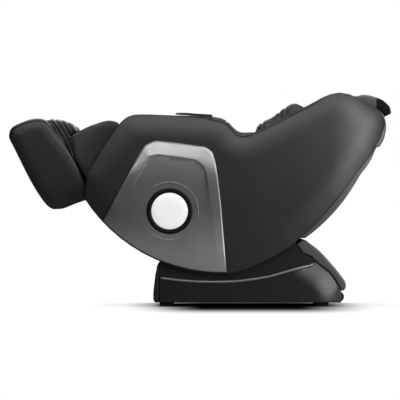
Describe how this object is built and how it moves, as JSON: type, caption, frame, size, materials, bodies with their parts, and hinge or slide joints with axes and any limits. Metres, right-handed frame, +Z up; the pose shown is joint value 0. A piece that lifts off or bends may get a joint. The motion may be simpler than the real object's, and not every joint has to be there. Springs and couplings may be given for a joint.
{
  "type": "massage chair",
  "caption": "Reclining massage chair: a banana-shaped cradle rocking on rollers over a low base, with a hinged calf rest, sliding foot box and a roller carriage behind the back.",
  "frame": {"origin": "on the floor, under the centre of the chair's bounding box in the reclined rest pose", "axes": "+X towards the head end along the chair's length, +Y towards the sitter's right, +Z up"},
  "size_m": [1.776, 0.78, 0.987],
  "materials": {
    "shell_leather": "satin",
    "pad_leather": "matte",
    "silver_panel": "satin",
    "gloss_black": "gloss",
    "opal_lens": "satin",
    "satin_grey": "satin",
    "painted_steel": "matte",
    "bare_steel": "brushed",
    "black_plastic": "matte",
    "rubber": "matte"
  },
  "bodies": {
    "base": {"base_plate": "painted_steel", "base_skirt_left": "gloss_black", "base_skirt_right": "gloss_black", "base_front_cover": "gloss_black", "base_hood": "satin_grey", "floor_bar_front": "rubber", "floor_bar_rear": "rubber", "roller_bracket_front_left": "painted_steel", "roller_bracket_front_right": "painted_steel", "roller_bracket_rear_left": "painted_steel", "roller_bracket_rear_right": "painted_steel", "air_pump": "black_plastic", "power_inlet": "black_plastic"},
    "cradle": {"side_shell_right": "shell_leather", "side_shell_left": "shell_leather", "side_panel_right": "silver_panel", "side_panel_left": "silver_panel", "lamp_ring_right": "gloss_black", "lamp_ring_left": "gloss_black", "lamp_disc_right": "opal_lens", "lamp_disc_left": "opal_lens", "arm_pad_right": "pad_leather", "arm_pad_left": "pad_leather", "arm_shelf_right": "gloss_black", "arm_shelf_left": "gloss_black", "shoulder_wing_right": "pad_leather", "shoulder_wing_left": "pad_leather", "side_frame_right": "painted_steel", "side_frame_left": "painted_steel", "seat_pan": "painted_steel", "seat_pad": "pad_leather", "back_pad": "pad_leather", "head_pillow": "pad_leather", "back_cover": "satin_grey", "head_cap": "shell_leather", "guide_rail_right": "bare_steel", "guide_rail_left": "bare_steel"},
    "front_roller": {"cradle_roller_front": "bare_steel"},
    "rear_roller": {"cradle_roller_rear": "bare_steel"},
    "tilt_actuator": {"tilt_actuator_tube": "bare_steel"},
    "tilt_rod": {"tilt_actuator_rod": "bare_steel"},
    "calf_rest": {"calf_frame": "black_plastic", "calf_pad": "pad_leather", "calf_side_pad_left": "pad_leather", "calf_side_pad_right": "pad_leather"},
    "leg_actuator": {"leg_actuator_tube": "bare_steel"},
    "leg_rod": {"leg_actuator_rod": "bare_steel"},
    "foot_box": {"foot_side_left": "shell_leather", "foot_side_right": "shell_leather", "foot_shell": "black_plastic", "foot_cushion_left": "pad_leather", "foot_cushion_right": "pad_leather"},
    "foot_roller_shaft": {"foot_roller": "rubber"},
    "carriage": {"massage_carriage": "painted_steel"},
    "massage_yoke": {"massage_arm": "bare_steel"},
    "upper_rollers": {"massage_rollers_upper": "rubber"},
    "lower_rollers": {"massage_rollers_lower": "rubber"},
    "left_wheel": {"transport_wheel_left": "rubber"},
    "right_wheel": {"transport_wheel_right": "rubber"},
    "switch": {"power_switch": "black_plastic"}
  },
  "joints": [
    {"name": "zero_gravity_tilt", "type": "hinge", "parent": "base", "child": "cradle", "pos_m": [0.102, 0, 0.908], "axis": [0, -1, 0], "range_deg": [0, 24]},
    {"name": "front_roller_spin", "type": "hinge", "parent": "base", "child": "front_roller", "pos_m": [-0.12, 0, 0.22476], "axis": [0, -1, 0], "continuous": true},
    {"name": "rear_roller_spin", "type": "hinge", "parent": "base", "child": "rear_roller", "pos_m": [0.2758, 0, 0.21094], "axis": [0, -1, 0], "continuous": true},
    {"name": "tilt_actuator_pivot", "type": "hinge", "parent": "base", "child": "tilt_actuator", "pos_m": [-0.12, 0, 0.11], "axis": [0, -1, 0], "range_deg": [-3, 3]},
    {"name": "tilt_actuator_stroke", "type": "slide", "parent": "tilt_actuator", "child": "tilt_rod", "axis": [0.8357, 0, 0.5492], "range_m": [-0.005, 0.24]},
    {"name": "leg_rest_lift", "type": "hinge", "parent": "cradle", "child": "calf_rest", "pos_m": [-0.43, 0, 0.69], "axis": [0, -1, 0], "range_deg": [-20, 20]},
    {"name": "leg_actuator_pivot", "type": "hinge", "parent": "cradle", "child": "leg_actuator", "pos_m": [-0.01, 0, 0.378], "axis": [0, -1, 0], "range_deg": [-4, 4]},
    {"name": "leg_actuator_stroke", "type": "slide", "parent": "leg_actuator", "child": "leg_rod", "axis": [-0.9474, 0, 0.3201], "range_m": [-0.06, 0.06]},
    {"name": "foot_extension", "type": "slide", "parent": "calf_rest", "child": "foot_box", "axis": [-0.8616, 0, -0.5075], "range_m": [0, 0.09]},
    {"name": "foot_roller_spin", "type": "hinge", "parent": "foot_box", "child": "foot_roller_shaft", "pos_m": [-0.71549, 0, 0.59147], "axis": [0, 1, 0], "continuous": true},
    {"name": "carriage_travel", "type": "slide", "parent": "cradle", "child": "carriage", "axis": [0.788, 0, 0.6157], "range_m": [-0.19, 0.19]},
    {"name": "massage_yoke_rock", "type": "hinge", "parent": "carriage", "child": "massage_yoke", "pos_m": [0.52867, 0, 0.59091], "axis": [0, 1, 0], "range_deg": [-6, 6]},
    {"name": "upper_roller_spin", "type": "hinge", "parent": "massage_yoke", "child": "upper_rollers", "pos_m": [0.54394, 0, 0.66882], "axis": [0, 1, 0], "continuous": true},
    {"name": "lower_roller_spin", "type": "hinge", "parent": "massage_yoke", "child": "lower_rollers", "pos_m": [0.44938, 0, 0.59494], "axis": [0, 1, 0], "continuous": true},
    {"name": "left_wheel_spin", "type": "hinge", "parent": "base", "child": "left_wheel", "pos_m": [0.642, 0, 0.045], "axis": [0, 1, 0], "continuous": true},
    {"name": "right_wheel_spin", "type": "hinge", "parent": "base", "child": "right_wheel", "pos_m": [0.642, 0, 0.045], "axis": [0, 1, 0], "continuous": true},
    {"name": "power_switch_rock", "type": "hinge", "parent": "base", "child": "switch", "pos_m": [0.609, 0.14, 0.048], "axis": [0, 1, 0], "range_deg": [0, 7]}
  ],
  "couplings": [
    {"joint": "front_roller_spin", "follows": "zero_gravity_tilt", "ratio": -38.889},
    {"joint": "rear_roller_spin", "follows": "zero_gravity_tilt", "ratio": -38.889},
    {"joint": "tilt_actuator_pivot", "follows": "zero_gravity_tilt", "ratio": -0.0482},
    {"joint": "tilt_actuator_stroke", "follows": "zero_gravity_tilt", "m_per_rad": 0.5559},
    {"joint": "leg_actuator_pivot", "follows": "leg_rest_lift", "ratio": -0.1003},
    {"joint": "leg_actuator_stroke", "follows": "leg_rest_lift", "m_per_rad": -0.15996}
  ]
}
